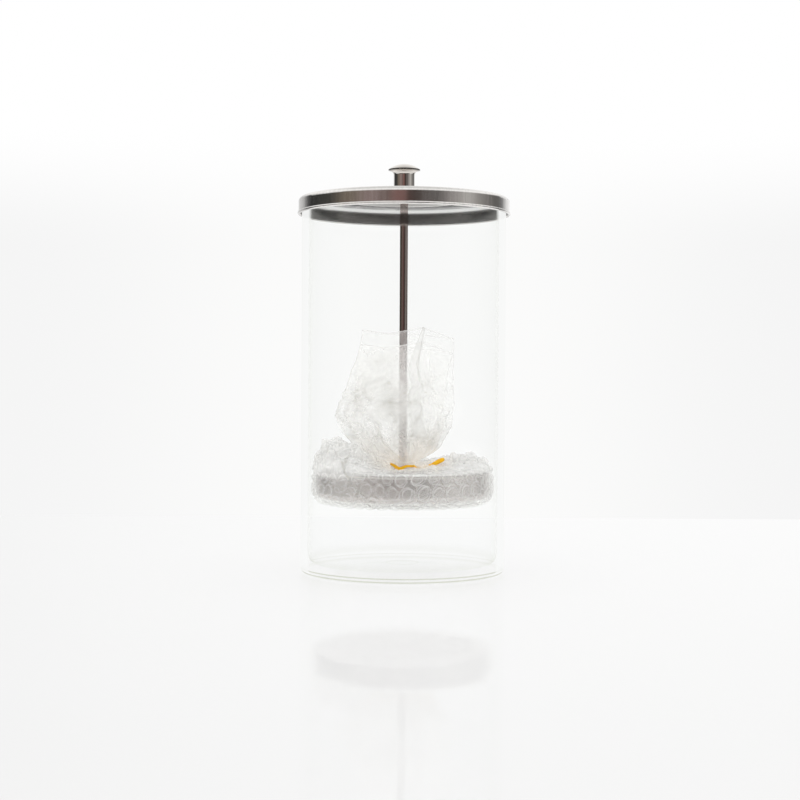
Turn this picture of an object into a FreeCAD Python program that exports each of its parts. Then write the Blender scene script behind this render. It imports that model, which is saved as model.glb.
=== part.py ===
"""Glass disinfectant jar with a lift-out basket.

A straight glass jar is closed by a loose pressed-steel lid.  A rod hangs through the lid's centre
hole from a small knob and carries a shallow perforated basket.  The basket still wears the wrap
it travels in: bubble film gathered round the rod under a rubber band, with the bag's open end
standing up above it.

All sizes are millimetres.  +Z is up, the origin is the centre of the circle that the jar stands on.
"""

import FreeCAD
import Part
import Sketcher

import math
import os

DRIVING_DIMENSIONS = {
    # Jar: one piece of heavy glass tube, closed and flattened at the bottom.
    "jar_dia": 101.0,
    "jar_height": 184.4,
    "jar_wall": 3.4,
    "jar_floor": 4.6,
    "jar_foot_round": 2.6,
    "jar_inside_round": 5.0,
    "jar_rim_round": 1.2,
    "jar_punt_dia": 58.0,
    "jar_punt_depth": 1.2,
    "jar_punt_slope": 5.0,
    "jar_mark_dia": 16.0,
    "jar_mark_depth": 0.5,
    # Lid: a pressed cover with a raised middle, a skirt and a rolled hem.
    "lid_dia": 104.4,
    "lid_sheet": 0.6,
    "lid_skirt": 8.5,
    "lid_edge_round": 2.2,
    "lid_step_dia": 65.0,
    "lid_step_rise": 2.2,
    "lid_step_draft": 0.8,
    "lid_step_round": 0.5,
    "lid_hem_radius": 0.75,
    # Rod and the small hardware on it (M4).
    "rod_dia": 4.0,
    "rod_end_bevel": 0.4,
    "rod_tip_below_nut": 0.8,
    "rod_running_gap": 0.08,
    "lid_play": 0.1,
    "nut_flats": 7.0,
    "nut_height": 3.2,
    "thin_nut_height": 2.2,
    "nut_bevel": 0.45,
    "washer_dia": 9.0,
    "washer_height": 0.8,
    # Knob: a turned sleeve under a domed cap.
    "sleeve_dia": 10.5,
    "sleeve_height": 11.0,
    "sleeve_foot_bevel": 0.4,
    "sleeve_flare_dia": 12.6,
    "sleeve_flare_height": 1.6,
    "sleeve_flare_curve": 2.0,
    "cap_dia": 15.8,
    "cap_cone_height": 0.65,
    "cap_edge_height": 0.4,
    "cap_dome_rise": 2.75,
    "cap_socket_depth": 1.6,
    # Basket: a shallow pressed pan, its floor perforated in rings round a raised hub.
    "basket_dia": 86.0,
    "basket_height": 12.8,
    "basket_base": 36.8,
    "basket_sheet": 0.6,
    "basket_corner_round": 3.0,
    "basket_bead_radius": 0.6,
    "basket_hub_dia": 18.0,
    "basket_hub_rise": 3.4,
    "basket_hub_draft": 1.2,
    "basket_hub_round": 0.5,
    "basket_hole_dia": 5.0,
    "basket_first_ring": 16.5,
    "basket_ring_pitch": 8.75,
    # Transit wrap: bubble film round the basket, the standing end of the bag, and the band.
    "wrap_dia": 90.8,
    "wrap_film": 1.0,
    "wrap_base": 34.0,
    "wrap_corner": 3.4,
    "wrap_shoulder": 51.0,
    "wrap_heap_top": 60.0,
    "wrap_heap_inset": 3.6,
    "wrap_heap_width": 8.0,
    "wrap_dish_dia": 52.0,
    "wrap_dish_rim": 52.8,
    "wrap_neck_dia": 12.0,
    "wrap_neck_low": 50.6,
    "wrap_neck_top": 55.2,
    "wrap_rod_gap": 0.4,
    "tail_base": 55.4,
    "tail_flare_dia": 61.0,
    "tail_flare_height": 72.0,
    "tail_belly_dia": 66.0,
    "tail_belly_height": 84.0,
    "tail_mouth_dia": 52.0,
    "tail_mouth_height": 120.0,
    "band_thickness": 1.4,
    "band_pitch": 1.2,
    "band_low_turn": 52.9,
    "band_gap": 0.1,
    "band_ear_length": 13.0,
    "band_ear_width": 2.4,
    "band_ear_tilt": 10.0,
}

BASKET_RING_COUNTS = (6, 12, 18)


class Size:
    """A size as a number and as the spreadsheet expression that gives it."""

    def __init__(self, value, text):
        self.value = value
        self.text = text

    def __add__(self, other):
        other = as_size(other)
        return Size(self.value + other.value, f"({self.text} + {other.text})")

    def __sub__(self, other):
        other = as_size(other)
        return Size(self.value - other.value, f"({self.text} - {other.text})")

    def __mul__(self, other):
        other = as_size(other)
        return Size(self.value * other.value, f"({self.text} * {other.text})")

    def __truediv__(self, other):
        other = as_size(other)
        return Size(self.value / other.value, f"({self.text} / {other.text})")

    def __neg__(self):
        return Size(-self.value, f"(0 - {self.text})")


def as_size(number):
    return number if isinstance(number, Size) else Size(float(number), repr(float(number)))


def square_root(size):
    return Size(math.sqrt(size.value), f"sqrt({size.text})")


class Sheet:
    """The spreadsheet of driving dimensions; sheet.jar_dia is that cell as a Size."""

    def __init__(self, document):
        cells = document.addObject("Spreadsheet::Sheet", "Dimensions")
        for row, (name, number) in enumerate(DRIVING_DIMENSIONS.items(), start=1):
            cells.set(f"A{row}", name)
            cells.set(f"B{row}", str(number))
            cells.setAlias(f"B{row}", name)
            setattr(self, name, Size(number, f"Dimensions.{name}"))


def origin_plane(body, role):
    return next(f for f in body.Origin.OriginFeatures if f.Role == role)


def new_sketch(body, name, role):
    sketch = body.newObject("Sketcher::SketchObject", name)
    sketch.AttachmentSupport = [(origin_plane(body, role), "")]
    sketch.MapMode = "FlatFace"
    return sketch


def bind(sketch, constraint, size):
    index = sketch.addConstraint(constraint)
    sketch.setExpression(f"Constraints[{index}]", size.text)


def pin_point(sketch, edge, end, x, y):
    """Fixes one end of an edge at (x, y); a coordinate of None lies on the sketch's axis."""
    if x is None:
        sketch.addConstraint(Sketcher.Constraint("PointOnObject", edge, end, -2))
    else:
        bind(sketch, Sketcher.Constraint("DistanceX", -1, 1, edge, end, x.value), x)
    if y is None:
        sketch.addConstraint(Sketcher.Constraint("PointOnObject", edge, end, -1))
    else:
        bind(sketch, Sketcher.Constraint("DistanceY", -1, 1, edge, end, y.value), y)


def point_at(x, y):
    return FreeCAD.Vector(x.value if x else 0.0, y.value if y else 0.0, 0.0)


def add_arc(sketch, start, end, radius, bulge):
    """Adds the short arc from start to end that bulges "left" or "right" of the way it goes.

    A sketch's arcs run counter-clockwise, so the numbers of its start and end are returned too.
    """
    chord = end - start
    left = FreeCAD.Vector(-chord.y, chord.x, 0).normalize()
    offset = math.sqrt(radius.value**2 - (chord.Length / 2) ** 2)
    centre = (start + end) / 2 + left * (offset if bulge == "right" else -offset)
    first, last = (start, end) if bulge == "right" else (end, start)
    angles = [math.atan2(p.y - centre.y, p.x - centre.x) for p in (first, last)]
    if angles[1] < angles[0]:
        angles[1] += 2 * math.pi
    circle = Part.Circle(centre, FreeCAD.Vector(0, 0, 1), radius.value)
    edge = sketch.addGeometry(Part.ArcOfCircle(circle, *angles))
    bind(sketch, Sketcher.Constraint("Radius", edge, radius.value), radius)
    return (edge, 1, 2) if bulge == "right" else (edge, 2, 1)


def draw_outline(sketch, corners):
    """Draws a closed outline through corners, each (x, y) or, where an arc starts, (x, y, radius, bulge)."""
    points = [point_at(*corner[:2]) for corner in corners]
    edges = []
    for i, (start, corner) in enumerate(zip(points, corners)):
        end = points[(i + 1) % len(points)]
        if len(corner) > 2:
            edges.append(add_arc(sketch, start, end, *corner[2:]))
        else:
            edges.append((sketch.addGeometry(Part.LineSegment(start, end)), 1, 2))
    for i, (edge, start_end, _) in enumerate(edges):
        before, _, before_end = edges[i - 1]
        sketch.addConstraint(Sketcher.Constraint("Coincident", before, before_end, edge, start_end))
        pin_point(sketch, edge, start_end, *corners[i][:2])


def new_body(document, label):
    return document.addObject("PartDesign::Body", label)


def revolve(body, corners):
    """Adds the solid that an outline of (radius, height) corners sweeps round the Z axis."""
    sketch = new_sketch(body, body.Label + "_profile", "XZ_Plane")
    draw_outline(sketch, corners)
    feature = body.newObject("PartDesign::Revolution", body.Label + "_revolution")
    feature.Profile = sketch
    feature.ReferenceAxis = (sketch, ["V_Axis"])
    feature.Angle = 360
    body.Document.recompute()
    return feature


def circle_edges(shape, radius, height):
    """Names of the round edges about the Z axis at a radius and a height."""
    names = []
    for number, edge in enumerate(shape.Edges, start=1):
        curve = edge.Curve
        if not isinstance(curve, Part.Circle):
            continue
        off = abs(curve.Center.x) + abs(curve.Center.y) + abs(curve.Center.z - height.value)
        if off < 1e-4 and abs(curve.Radius - radius.value) < 1e-4:
            names.append(f"Edge{number}")
    if not names:
        raise RuntimeError(f"no round edge of radius {radius.value} at height {height.value}")
    return names


def round_edges(body, size, *places):
    """Fillets the round edges at each (radius, height) of places by size."""
    base = body.Tip
    names = [name for place in places for name in circle_edges(base.Shape, *place)]
    feature = body.newObject("PartDesign::Fillet", body.Label + "_round")
    feature.Base = (base, names)
    feature.Radius = size.value
    feature.setExpression("Radius", size.text)
    body.Document.recompute()
    return feature


def bead_reach(bead_radius, wall):
    """How far below a bead's top a wall of this thickness runs into its round section."""
    return bead_radius + square_root(bead_radius * bead_radius - wall * wall / 4)


def make_glass_jar(document, s):
    """Straight glass tube with a flat floor, a shallow punt under it and a fire-polished rim."""
    outer = s.jar_dia / 2
    inner = outer - s.jar_wall
    mark = s.jar_mark_dia / 2
    mark_floor = s.jar_floor - s.jar_mark_depth
    punt = s.jar_punt_dia / 2
    foot = punt + s.jar_punt_slope
    body = new_body(document, "glass_jar")
    revolve(body, [
        (None, s.jar_punt_depth),
        (punt, s.jar_punt_depth),
        (foot, None),
        (outer, None),
        (outer, s.jar_height),
        (inner, s.jar_height),
        (inner, s.jar_floor),
        (mark, s.jar_floor),
        (mark - s.jar_mark_depth, mark_floor),
        (None, mark_floor),
    ])
    round_edges(body, s.jar_inside_round, (inner, s.jar_floor))
    round_edges(body, s.jar_foot_round, (outer, as_size(0)))
    round_edges(body, s.jar_rim_round, (outer, s.jar_height), (inner, s.jar_height))
    return body


def make_lid_cover(document, s):
    """Pressed lid: raised middle with the rod's hole, flat rim, skirt and rolled hem."""
    plate_top = s.jar_height + s.lid_sheet
    middle_top = plate_top + s.lid_step_rise
    hem = plate_top - s.lid_skirt
    hem_meets_skirt = hem + bead_reach(s.lid_hem_radius, s.lid_sheet)
    outer = s.lid_dia / 2
    inner = outer - s.lid_sheet
    step_top = s.lid_step_dia / 2
    step_foot = step_top + s.lid_step_draft
    hole = s.rod_dia / 2 + s.rod_running_gap
    body = new_body(document, "lid_cover")
    revolve(body, [
        (hole, middle_top - s.lid_sheet),
        (step_top - s.lid_sheet, middle_top - s.lid_sheet),
        (step_foot - s.lid_sheet, s.jar_height),
        (inner, s.jar_height),
        (inner, hem_meets_skirt, s.lid_hem_radius, "right"),
        (outer - s.lid_sheet / 2, hem, s.lid_hem_radius, "right"),
        (outer, hem_meets_skirt),
        (outer, plate_top),
        (step_foot, plate_top),
        (step_top, middle_top),
        (hole, middle_top),
    ])
    round_edges(body, s.lid_step_round, (step_top, middle_top), (step_foot - s.lid_sheet, s.jar_height))
    round_edges(body, s.lid_edge_round, (outer, plate_top))
    round_edges(body, s.lid_edge_round - s.lid_sheet, (inner, s.jar_height))
    return body


def make_rod(document, s):
    """Round bar from just under the basket's nut to the socket in the knob's cap."""
    half = s.rod_dia / 2
    low = basket_nut_base(s) - s.rod_tip_below_nut
    high = cap_base(s) + s.cap_socket_depth
    body = new_body(document, "rod")
    revolve(body, [
        (None, low),
        (half - s.rod_end_bevel, low),
        (half, low + s.rod_end_bevel),
        (half, high - s.rod_end_bevel),
        (half - s.rod_end_bevel, high),
        (None, high),
    ])
    return body


def lid_middle_top(s):
    return s.jar_height + s.lid_sheet + s.lid_step_rise


def cap_base(s):
    return lid_middle_top(s) + s.sleeve_height


def hub_top(s):
    return s.basket_base + s.basket_sheet + s.basket_hub_rise


def basket_nut_base(s):
    return hub_top(s) - s.basket_sheet - s.washer_height - s.thin_nut_height


def make_knob_sleeve(document, s):
    """Turned sleeve that stands on the lid and flares out under the cap."""
    foot = lid_middle_top(s)
    top = cap_base(s)
    outer = s.sleeve_dia / 2
    body = new_body(document, "knob_sleeve")
    revolve(body, [
        (s.rod_dia / 2, foot),
        (outer - s.sleeve_foot_bevel, foot),
        (outer, foot + s.sleeve_foot_bevel),
        (outer, top - s.sleeve_flare_height, s.sleeve_flare_curve, "left"),
        (s.sleeve_flare_dia / 2, top),
        (s.rod_dia / 2, top),
    ])
    return body


def make_knob_cap(document, s):
    """Domed cap with a thin edge and a coned underside, socketed on the rod's end."""
    foot = cap_base(s)
    edge_low = foot + s.cap_cone_height
    edge_high = edge_low + s.cap_edge_height
    outer = s.cap_dia / 2
    socket = s.rod_dia / 2
    dome_radius = (outer * outer + s.cap_dome_rise * s.cap_dome_rise) / (s.cap_dome_rise * 2)
    body = new_body(document, "knob_cap")
    revolve(body, [
        (socket, foot),
        (s.sleeve_flare_dia / 2, foot),
        (outer, edge_low),
        (outer, edge_high, dome_radius, "right"),
        (None, edge_high + s.cap_dome_rise),
        (None, foot + s.cap_socket_depth),
        (socket, foot + s.cap_socket_depth),
    ])
    return body


def make_nut(document, s, label, base, height):
    """Hexagonal nut with bevelled corners on the rod."""
    flats = s.nut_flats / 2
    corner = s.nut_flats / math.sqrt(3)
    body = new_body(document, label)
    revolve(body, [
        (s.rod_dia / 2, base),
        (flats, base),
        (corner, base + s.nut_bevel),
        (corner, base + height - s.nut_bevel),
        (flats, base + height),
        (s.rod_dia / 2, base + height),
    ])
    sketch = new_sketch(body, label + "_flats", "XY_Plane")
    hexagon = [
        (corner * math.cos(math.radians(60 * i)), corner * math.sin(math.radians(60 * i)))
        for i in range(6)
    ]
    draw_outline(sketch, [(x, y if abs(y.value) > 1e-9 else None) for x, y in hexagon])
    draw_square(sketch, corner * 2)
    cut = body.newObject("PartDesign::Pocket", label + "_flats_cut")
    cut.Profile = sketch
    cut.Type = "ThroughAll"
    cut.Reversed = True
    document.recompute()
    return body


def draw_square(sketch, half):
    """Draws a square about the sketch's origin, whose sides lie half away from it."""
    draw_outline(sketch, [(-half, -half), (half, -half), (half, half), (-half, half)])


def make_washer(document, s, label, base):
    """Plain washer on the rod."""
    body = new_body(document, label)
    revolve(body, [
        (s.rod_dia / 2, base),
        (s.washer_dia / 2, base),
        (s.washer_dia / 2, base + s.washer_height),
        (s.rod_dia / 2, base + s.washer_height),
    ])
    return body


def make_basket(document, s):
    """Shallow pressed pan: beaded rim, round corner, raised hub and rings of drain holes."""
    outer = s.basket_dia / 2
    inner = outer - s.basket_sheet
    floor_top = s.basket_base + s.basket_sheet
    rim = s.basket_base + s.basket_height
    rim_meets_wall = rim - bead_reach(s.basket_bead_radius, s.basket_sheet)
    hub = s.basket_hub_dia / 2
    hub_foot = hub + s.basket_hub_draft
    hub_high = hub_top(s)
    body = new_body(document, "basket_pan")
    revolve(body, [
        (s.rod_dia / 2, hub_high - s.basket_sheet),
        (hub - s.basket_sheet, hub_high - s.basket_sheet),
        (hub_foot - s.basket_sheet, s.basket_base),
        (outer, s.basket_base),
        (outer, rim_meets_wall, s.basket_bead_radius, "right"),
        (outer - s.basket_sheet / 2, rim, s.basket_bead_radius, "right"),
        (inner, rim_meets_wall),
        (inner, floor_top),
        (hub_foot, floor_top),
        (hub, hub_high),
        (s.rod_dia / 2, hub_high),
    ])
    round_edges(body, s.basket_hub_round, (hub, hub_high), (hub_foot - s.basket_sheet, s.basket_base))
    round_edges(body, s.basket_corner_round, (outer, s.basket_base))
    round_edges(body, s.basket_corner_round - s.basket_sheet, (inner, floor_top))
    for ring, count in enumerate(BASKET_RING_COUNTS):
        punch_ring(body, s, ring, count)
    return body


def punch_ring(body, s, ring, count):
    """Punches one ring of round holes through the basket's floor."""
    radius = s.basket_first_ring + s.basket_ring_pitch * ring
    sketch = new_sketch(body, f"ring_{ring}_hole", "XY_Plane")
    centre = FreeCAD.Vector(radius.value, 0, 0)
    hole = sketch.addGeometry(Part.Circle(centre, FreeCAD.Vector(0, 0, 1), s.basket_hole_dia.value / 2))
    bind(sketch, Sketcher.Constraint("Diameter", hole, s.basket_hole_dia.value), s.basket_hole_dia)
    pin_point(sketch, hole, 3, radius, None)
    cut = body.newObject("PartDesign::Pocket", f"ring_{ring}_cut")
    cut.Profile = sketch
    cut.Type = "ThroughAll"
    cut.Reversed = True
    body.Document.recompute()
    pattern = body.newObject("PartDesign::PolarPattern", f"ring_{ring}")
    pattern.Originals = [cut]
    pattern.Axis = (sketch, ["N_Axis"])
    pattern.Angle = 360
    pattern.Occurrences = count
    body.Tip = pattern
    body.Document.recompute()


def make_bubble_wrap(document, s):
    """Bubble film round the basket: under it, up its wall, heaped on top and in to the neck."""
    film = s.wrap_film
    side = s.wrap_dia / 2
    heap_outer = side - s.wrap_heap_inset
    heap_inner = heap_outer - s.wrap_heap_width
    dish = s.wrap_dish_dia / 2
    neck = s.wrap_neck_dia / 2
    hole = s.rod_dia / 2 + s.wrap_rod_gap
    body = new_body(document, "bubble_wrap")
    revolve(body, [
        (None, s.wrap_base),
        (side - s.wrap_corner, s.wrap_base),
        (side, s.wrap_base + s.wrap_corner),
        (side, s.wrap_shoulder),
        (heap_outer, s.wrap_heap_top),
        (heap_inner, s.wrap_heap_top),
        (dish, s.wrap_dish_rim),
        (neck, s.wrap_neck_low + film),
        (neck, s.wrap_neck_top),
        (hole, s.wrap_neck_top),
        (hole, s.wrap_neck_low),
        (neck, s.wrap_neck_low),
        (dish, s.wrap_dish_rim - film),
        (heap_inner, s.wrap_heap_top - film),
        (heap_outer - film, s.wrap_heap_top - film),
        (side - film, s.wrap_shoulder),
        (side - film, s.wrap_base + s.wrap_corner),
        (side - s.wrap_corner - film, s.wrap_base + film),
        (None, s.wrap_base + film),
    ])
    return body


def make_bag_tail(document, s):
    """The bag's open end above the band: a flared shell that stands round the rod."""
    film = s.wrap_film
    neck = s.wrap_neck_dia / 2
    hole = s.rod_dia / 2 + s.wrap_rod_gap
    flare, belly, mouth = s.tail_flare_dia / 2, s.tail_belly_dia / 2, s.tail_mouth_dia / 2
    body = new_body(document, "bag_tail")
    revolve(body, [
        (hole, s.tail_base),
        (neck, s.tail_base),
        (flare, s.tail_flare_height),
        (belly, s.tail_belly_height),
        (mouth, s.tail_mouth_height),
        (mouth - film, s.tail_mouth_height),
        (belly - film, s.tail_belly_height),
        (flare - film, s.tail_flare_height),
        (neck, s.tail_base + film),
        (hole, s.tail_base + film),
    ])
    return body


def make_rubber_band(document, s):
    """Two turns of the band round the neck, and the free loop that sticks out sideways."""
    half = s.band_thickness / 2
    turn = s.wrap_neck_dia / 2 + s.band_gap + half
    low, high = s.band_low_turn, s.band_low_turn + s.band_pitch
    middle = (low + high) / 2
    waist = square_root(half * half - s.band_pitch * s.band_pitch / 4)
    body = new_body(document, "rubber_band")
    revolve(body, [
        (turn, low - half, half, "right"),
        (turn + waist, middle, half, "right"),
        (turn, high + half, half, "right"),
        (turn - waist, middle, half, "right"),
    ])
    bend = s.band_ear_width / 2
    path = new_sketch(body, "ear_path", "XY_Plane")
    tilt_sketch(path, {"x": turn, "z": middle}, FreeCAD.Vector(0, 1, 0), -s.band_ear_tilt)
    draw_hairpin(path, s.band_ear_length, bend)
    section = new_sketch(body, "ear_section", "YZ_Plane")
    tilt_sketch(section, {"z": turn, "y": middle}, FreeCAD.Vector(1, 0, 0), -s.band_ear_tilt)
    centre = FreeCAD.Vector(-bend.value, 0, 0)
    circle = section.addGeometry(Part.Circle(centre, FreeCAD.Vector(0, 0, 1), half.value))
    bind(section, Sketcher.Constraint("Radius", circle, half.value), half)
    pin_point(section, circle, 3, -bend, None)
    document.recompute()
    ear = body.newObject("PartDesign::AdditivePipe", "ear_pipe")
    ear.Profile = section
    ear.Spine = path
    document.recompute()
    return body


def tilt_sketch(sketch, offsets, axis, angle):
    """Moves a sketch off its plane by the named offsets and tips it about an axis of that plane."""
    sketch.AttachmentOffset = FreeCAD.Placement(FreeCAD.Vector(), FreeCAD.Rotation(axis, angle.value))
    for name, size in offsets.items():
        sketch.setExpression(f"AttachmentOffset.Base.{name}", size.text)
    sketch.setExpression("AttachmentOffset.Rotation.Angle", angle.text)


def draw_hairpin(sketch, length, bend):
    """Draws an open path out along X, round a half turn and back."""
    far = length.value
    out = sketch.addGeometry(Part.LineSegment(
        FreeCAD.Vector(0, -bend.value, 0), FreeCAD.Vector(far, -bend.value, 0)))
    circle = Part.Circle(FreeCAD.Vector(far, 0, 0), FreeCAD.Vector(0, 0, 1), bend.value)
    turn = sketch.addGeometry(Part.ArcOfCircle(circle, -math.pi / 2, math.pi / 2))
    back = sketch.addGeometry(Part.LineSegment(
        FreeCAD.Vector(far, bend.value, 0), FreeCAD.Vector(0, bend.value, 0)))
    sketch.addConstraint(Sketcher.Constraint("Tangent", out, 2, turn, 1))
    sketch.addConstraint(Sketcher.Constraint("Tangent", turn, 2, back, 1))
    pin_point(sketch, out, 1, None, -bend)
    pin_point(sketch, turn, 3, length, None)
    pin_point(sketch, back, 2, None, bend)


def check(document, parts):
    """Stops the build if any object failed or any part isn't a valid solid."""
    for item in document.Objects:
        if {"Invalid", "Error"} & set(item.State):
            raise RuntimeError(f"{item.Label} failed: {item.State}")
    for part in parts:
        shape = part.Shape
        if shape.isNull() or not shape.isValid() or not shape.Solids or shape.Volume <= 0:
            raise RuntimeError(f"{part.Label} is not a valid solid")


def main():
    document = FreeCAD.newDocument("disinfectant_jar")
    s = Sheet(document)
    document.recompute()
    lid_under = lid_middle_top(s) - s.lid_sheet - s.lid_play
    parts = [
        make_glass_jar(document, s),
        make_lid_cover(document, s),
        make_rod(document, s),
        make_knob_sleeve(document, s),
        make_knob_cap(document, s),
        make_washer(document, s, "lid_washer", lid_under - s.washer_height),
        make_nut(document, s, "lid_nut", lid_under - s.washer_height - s.thin_nut_height, s.thin_nut_height),
        make_basket(document, s),
        make_washer(document, s, "basket_upper_washer", hub_top(s)),
        make_nut(document, s, "basket_upper_nut", hub_top(s) + s.washer_height, s.nut_height),
        make_washer(document, s, "basket_lower_washer", hub_top(s) - s.basket_sheet - s.washer_height),
        make_nut(document, s, "basket_lower_nut", basket_nut_base(s), s.thin_nut_height),
        make_bubble_wrap(document, s),
        make_bag_tail(document, s),
        make_rubber_band(document, s),
    ]
    document.recompute()
    check(document, parts)
    os.makedirs("parts", exist_ok=True)
    for part in parts:
        part.Shape.exportStep(os.path.join("parts", part.Label + ".step"))
        box = part.Shape.optimalBoundingBox(True, False)
        print(f"{part.Label:20s} {part.Shape.Volume:10.1f} mm3  z {box.ZMin:7.2f} to {box.ZMax:7.2f}"
              f"  width {box.XLength:6.2f}")


main()
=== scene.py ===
"""Disinfectant jar: a glass jar, a loose steel lid and the basket that hangs from its knob."""

import math
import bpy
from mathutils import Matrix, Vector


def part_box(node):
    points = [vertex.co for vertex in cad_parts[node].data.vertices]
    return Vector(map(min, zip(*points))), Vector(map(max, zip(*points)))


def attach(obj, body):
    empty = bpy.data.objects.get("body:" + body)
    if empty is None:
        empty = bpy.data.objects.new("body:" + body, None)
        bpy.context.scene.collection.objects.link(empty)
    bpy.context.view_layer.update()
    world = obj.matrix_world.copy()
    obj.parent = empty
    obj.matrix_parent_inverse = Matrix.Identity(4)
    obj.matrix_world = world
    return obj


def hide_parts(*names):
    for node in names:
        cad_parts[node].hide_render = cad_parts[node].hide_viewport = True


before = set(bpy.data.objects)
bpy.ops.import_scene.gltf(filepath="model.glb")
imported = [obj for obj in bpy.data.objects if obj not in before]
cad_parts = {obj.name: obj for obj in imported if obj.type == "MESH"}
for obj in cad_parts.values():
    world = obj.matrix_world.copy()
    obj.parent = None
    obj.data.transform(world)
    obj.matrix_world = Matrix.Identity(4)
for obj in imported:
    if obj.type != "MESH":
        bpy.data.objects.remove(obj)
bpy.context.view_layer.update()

from types import SimpleNamespace

import bpy
import numpy as np
from mathutils import Vector, noise

MM = 0.001


# ---------------------------------------------------------------- shader helpers

class Tree:
    """A material's or world's node tree, with short ways to add and join nodes."""

    def __init__(self, owner):
        owner.use_nodes = True
        self.tree = owner.node_tree
        self.tree.nodes.clear()

    def add(self, kind, settings=None, **inputs):
        """Adds a node. settings are its own properties; inputs are numbers, colours or other outputs."""
        node = self.tree.nodes.new(kind)
        for name, value in (settings or {}).items():
            setattr(node, name, value)
        for name, value in inputs.items():
            socket = self.socket(node, name)
            if isinstance(value, bpy.types.NodeSocket):
                self.tree.links.new(value, socket)
            else:
                socket.default_value = value
        return node

    @staticmethod
    def socket(node, name):
        """A node's input by place, as i0 or i1, or by name, with _ for a space."""
        if name[0] == "i" and name[1:].isdigit():
            return node.inputs[int(name[1:])]
        return node.inputs[name.replace("_", " ")]

    def math(self, operation, a, b=0.0, clamp=False):
        node = self.add("ShaderNodeMath", {"operation": operation, "use_clamp": clamp}, i0=a, i1=b)
        return node.outputs[0]

    def product(self, first, *others):
        """All the values multiplied together."""
        total = first
        for value in others:
            total = self.math("MULTIPLY", total, value)
        return total

    def one_less(self, value):
        """1 - value."""
        return self.math("SUBTRACT", 1.0, value)

    def remap(self, value, low, high, to_low=0.0, to_high=1.0, smooth=True):
        """Turns low to high into to_low to to_high, along an S-curve unless smooth is False."""
        kind = "SMOOTHSTEP" if smooth else "LINEAR"
        node = self.add("ShaderNodeMapRange", {"interpolation_type": kind}, Value=value,
                        From_Min=low, From_Max=high, To_Min=to_low, To_Max=to_high)
        return node.outputs[0]

    def near(self, value, middle, width):
        """1 where value is middle, falling to 0 at width from it."""
        apart = self.math("ABSOLUTE", self.math("SUBTRACT", value, middle))
        return self.remap(apart, 0.0, width, 1.0, 0.0)

    def blend(self, factor, a, b):
        """The colour a where factor is 0, and b where it is 1."""
        node = self.add("ShaderNodeMix", {"data_type": "RGBA"}, Factor=factor)
        for index, value in ((6, a), (7, b)):
            if isinstance(value, bpy.types.NodeSocket):
                self.tree.links.new(value, node.inputs[index])
            else:
                node.inputs[index].default_value = (*value, 1.0)
        return node.outputs[2]

    def ramp(self, factor, stops):
        """A smooth colour ramp; stops are (position, (red, green, blue))."""
        node = self.add("ShaderNodeValToRGB", Fac=factor)
        points = node.color_ramp.elements
        node.color_ramp.interpolation = "EASE"
        for _ in stops[2:]:
            points.new(0.5)
        for point, (position, colour) in zip(points, stops):
            point.position = position
            point.color = (*colour, 1.0)
        return node.outputs["Color"]

    def place(self, scale=(1.0, 1.0, 1.0)):
        """Object coordinates, stretched by scale."""
        coordinates = self.add("ShaderNodeTexCoord").outputs["Object"]
        return self.add("ShaderNodeMapping", Vector=coordinates, Scale=scale).outputs[0]

    def split(self, vector):
        """x, y and z of a vector."""
        return self.add("ShaderNodeSeparateXYZ", Vector=vector).outputs

    def height(self):
        """Height over the table."""
        return self.split(self.place())[2]

    def vector_math(self, operation, a, b=(0.0, 0.0, 0.0)):
        """A vector operation whose result is a number."""
        return self.add("ShaderNodeVectorMath", {"operation": operation}, i0=a, i1=b).outputs["Value"]

    def facing(self, blend, **inputs):
        """0 where the surface faces the viewer, rising to 1 where it is seen edge-on."""
        return self.add("ShaderNodeLayerWeight", Blend=blend, **inputs).outputs["Facing"]

    def noise(self, place, scale, detail=3.0, rough=0.5, twist=0.0):
        node = self.add("ShaderNodeTexNoise", Vector=place, Scale=scale, Detail=detail, Roughness=rough,
                        Distortion=twist)
        return node.outputs[0]

    def bump(self, height, strength, distance):
        node = self.add("ShaderNodeBump", Height=height, Strength=strength, Distance=distance)
        return node.outputs[0]

    def shader(self, kind, **inputs):
        """A shader, such as Emission or BsdfGlossy."""
        return self.add(f"ShaderNode{kind}", **inputs).outputs[0]

    def mix_shader(self, factor, a, b):
        return self.shader("MixShader", i0=factor, i1=a, i2=b)

    def surface(self, shader):
        self.add("ShaderNodeOutputMaterial", Surface=shader)


def new_material(name):
    """A new material and its node tree."""
    material = bpy.data.materials.new(name)
    return material, Tree(material)


def dimmed(colour, share):
    """A colour with only a share of its brightness."""
    return tuple(share * channel for channel in colour)


# ---------------------------------------------------------------- materials

WHITE = (1.0, 1.0, 1.0)
BLACK = (0.0, 0.0, 0.0)
LEVEL_ONLY = (1.0, 1.0, 0.0)
# The olive lines round the jar's foot are (height, width): the glass's own olive tint, darkened into
# lines as painted shade. Its other ranges are where an effect starts and is complete.
FOOT_RINGS = ((1.0 * MM, 0.7 * MM), (2.7 * MM, 0.5 * MM))
FOOT_OUTSIDE_RADII = (45.5 * MM, 47.0 * MM)
# The outer wall's radii and the rim's heights set where the glass's painted glow starts and is complete.
OUTER_WALL_GLOW_RADII = (48.5 * MM, 49.5 * MM)
GLASS_RIM_GLOW_HEIGHTS = (182.4 * MM, 183.4 * MM)
OLIVE = (0.73, 0.74, 0.65)
# STREAK_SHADE is how dark the brushing's streaks are; INSIDE_SHADE is the painted shade on faces turned
# towards the axis.
STREAK_SHADE, INSIDE_SHADE = 0.35, 0.24
EDGE_LINE_WIDTH = 0.7 * MM
GATHER_POINT = (0.0, 0.0, 52.0 * MM)


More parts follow.
